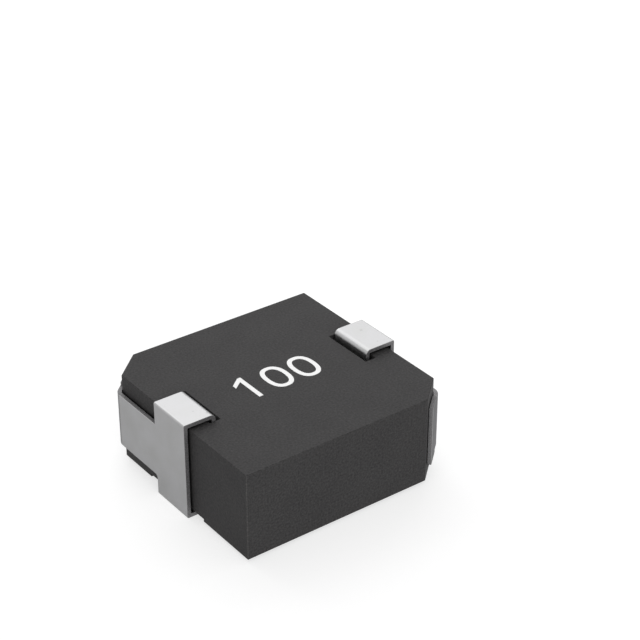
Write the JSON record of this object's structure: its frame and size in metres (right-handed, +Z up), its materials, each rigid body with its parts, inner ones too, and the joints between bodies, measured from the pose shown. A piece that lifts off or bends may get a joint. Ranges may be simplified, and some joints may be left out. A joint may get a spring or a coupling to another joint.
{
  "type": "shielded smd inductor",
  "caption": "Square pressed-powder power inductor for surface mounting, with chamfered corners and folded strip terminals that wrap from pad to top face.",
  "frame": {"origin": "middle of the part's outline, in the plane of the solder pads' outer faces", "axes": "+X along the length, from one terminal to the other; +Y across the width, so that the -X terminal's wing runs towards +Y; +Z up, away from the board"},
  "size_m": [0.007, 0.0066, 0.0029],
  "materials": {
    "powder_composite": "matt dark grey, pressed and cured iron-powder composite with a fine grain",
    "enamelled_copper": "glossy amber wire enamel over copper",
    "tinned_copper": "satin matte tin plating over copper strip"
  },
  "bodies": {
    "root": {"composite_body": "powder_composite", "winding": "enamelled_copper", "terminal_left": "tinned_copper", "terminal_right": "tinned_copper"}
  },
  "joints": []
}
